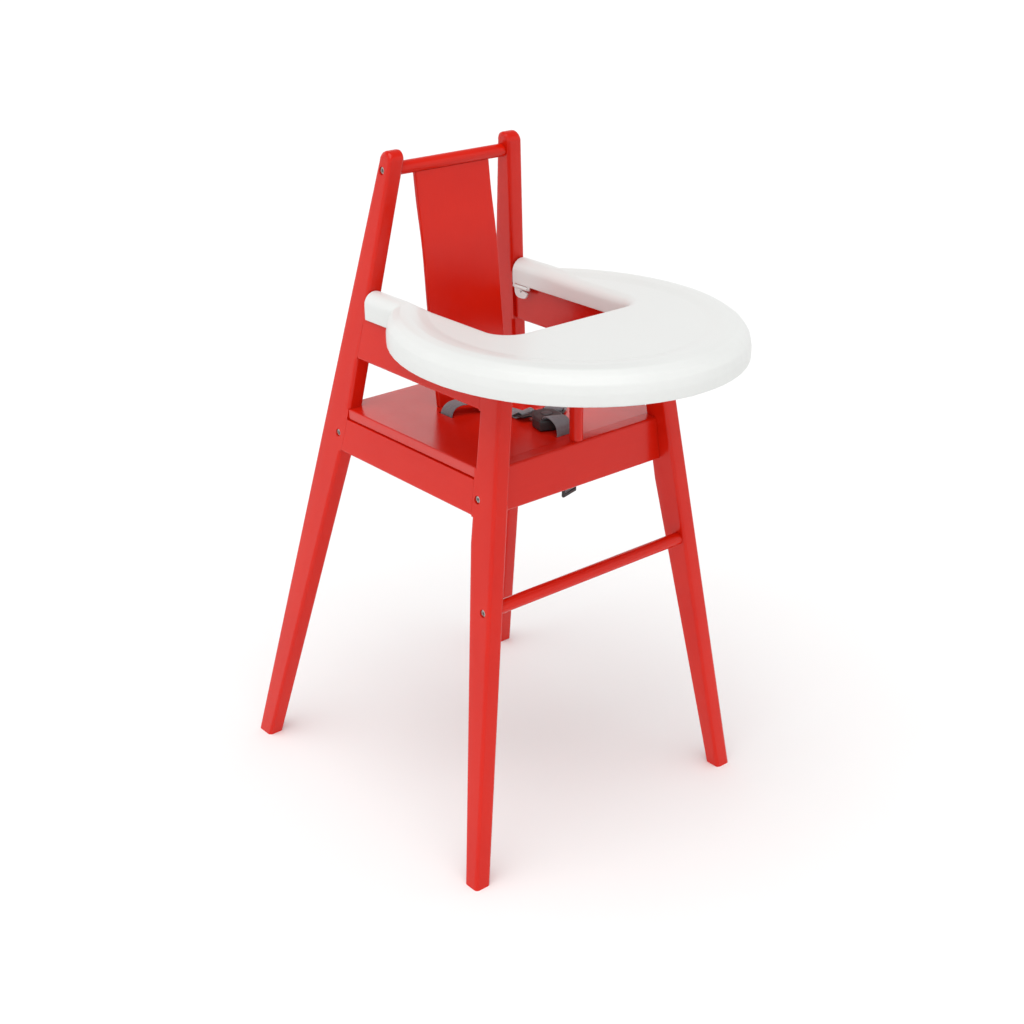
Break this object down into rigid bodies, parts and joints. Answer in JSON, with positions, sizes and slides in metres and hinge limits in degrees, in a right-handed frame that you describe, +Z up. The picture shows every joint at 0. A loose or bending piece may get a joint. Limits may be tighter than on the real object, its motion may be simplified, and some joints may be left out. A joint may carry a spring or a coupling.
{
  "type": "baby high chair",
  "caption": "Wooden high chair with splayed bolted side frames, curved back splat, footrest, crotch post, lift-off plastic tray with side latches, and a lap and crotch harness with buckle",
  "frame": {"origin": "on the floor, under the centre of the whole object's box", "axes": "+Z up, -Y the way the seated child faces, +X the seated child's left"},
  "size_m": [0.4848, 0.6888, 0.91],
  "materials": {
    "red_paint": "semi-gloss red paint over wood",
    "white_plastic": "semi-gloss moulded",
    "steel": "zinc-plated",
    "webbing": "ribbed woven webbing",
    "black_plastic": "fine moulded grain",
    "button_plastic": "fine moulded grain"
  },
  "bodies": {
    "chair": {"rear_leg_right": "red_paint", "rear_leg_left": "red_paint", "front_leg_right": "red_paint", "front_leg_left": "red_paint", "arm_rail_right": "red_paint", "arm_rail_left": "red_paint", "side_apron_right": "red_paint", "side_apron_left": "red_paint", "front_apron": "red_paint", "rear_apron": "red_paint", "footrest_rail": "red_paint", "top_rail": "red_paint", "back_splat": "red_paint", "seat_board": "red_paint", "crotch_post": "red_paint", "front_crossbar": "red_paint", "bolt_top_rail_right": "steel", "barrel_nut_top_rail_right": "steel", "bolt_top_rail_left": "steel", "barrel_nut_top_rail_left": "steel", "bolt_rear_apron_right": "steel", "barrel_nut_rear_apron_right": "steel", "bolt_rear_apron_left": "steel", "barrel_nut_rear_apron_left": "steel", "bolt_front_apron_right": "steel", "barrel_nut_front_apron_right": "steel", "bolt_front_apron_left": "steel", "barrel_nut_front_apron_left": "steel", "bolt_footrest_rail_right": "steel", "barrel_nut_footrest_rail_right": "steel", "bolt_footrest_rail_left": "steel", "barrel_nut_footrest_rail_left": "steel", "bolt_front_crossbar_right": "steel", "barrel_nut_front_crossbar_right": "steel", "bolt_front_crossbar_left": "steel", "barrel_nut_front_crossbar_left": "steel", "seat_screw_right_1": "steel", "seat_screw_right_2": "steel", "seat_screw_left_1": "steel", "seat_screw_left_2": "steel", "splat_screw_right": "steel", "splat_screw_left": "steel", "lap_strap_right": "webbing", "lap_strap_left": "webbing", "crotch_strap": "webbing", "strap_slider_right": "black_plastic", "strap_slider_left": "black_plastic", "strap_slider_crotch": "black_plastic", "buckle_housing": "black_plastic"},
    "tray": {"tray_shell": "white_plastic", "tray_latch_pin_right": "steel", "tray_latch_pin_left": "steel"},
    "tray_latch_right": {"tray_latch_right": "white_plastic"},
    "tray_latch_left": {"tray_latch_left": "white_plastic"},
    "buckle_button": {"buckle_button": "button_plastic"},
    "lap_tongue_right": {"buckle_tongue_right": "black_plastic", "lap_strap_end_right": "webbing"},
    "lap_tongue_left": {"buckle_tongue_left": "black_plastic", "lap_strap_end_left": "webbing"}
  },
  "joints": [
    {"name": "tray_lift", "type": "slide", "parent": "chair", "child": "tray", "axis": [0, -0.3489, 0.9371], "range_m": [0, 0.15]},
    {"name": "tray_latch_right", "type": "hinge", "parent": "tray", "child": "tray_latch_right", "pos_m": [-0.1125, 0.1241, 0.6882], "axis": [0, -1, 0], "range_deg": [0, 35], "stiffness_Nm_per_rad": 0.05},
    {"name": "tray_latch_left", "type": "hinge", "parent": "tray", "child": "tray_latch_left", "pos_m": [0.1125, 0.1241, 0.6882], "axis": [0, 1, 0], "range_deg": [0, 35], "stiffness_Nm_per_rad": 0.05},
    {"name": "buckle_button", "type": "slide", "parent": "chair", "child": "buckle_button", "axis": [0, 0, -1], "range_m": [0, 0.0025], "stiffness_N_per_m": 300},
    {"name": "lap_tongue_right", "type": "slide", "parent": "chair", "child": "lap_tongue_right", "axis": [-0.1392, 0.9903, 0], "range_m": [0, 0.016]},
    {"name": "lap_tongue_left", "type": "slide", "parent": "chair", "child": "lap_tongue_left", "axis": [0.829, 0.5592, 0], "range_m": [0, 0.016]}
  ]
}
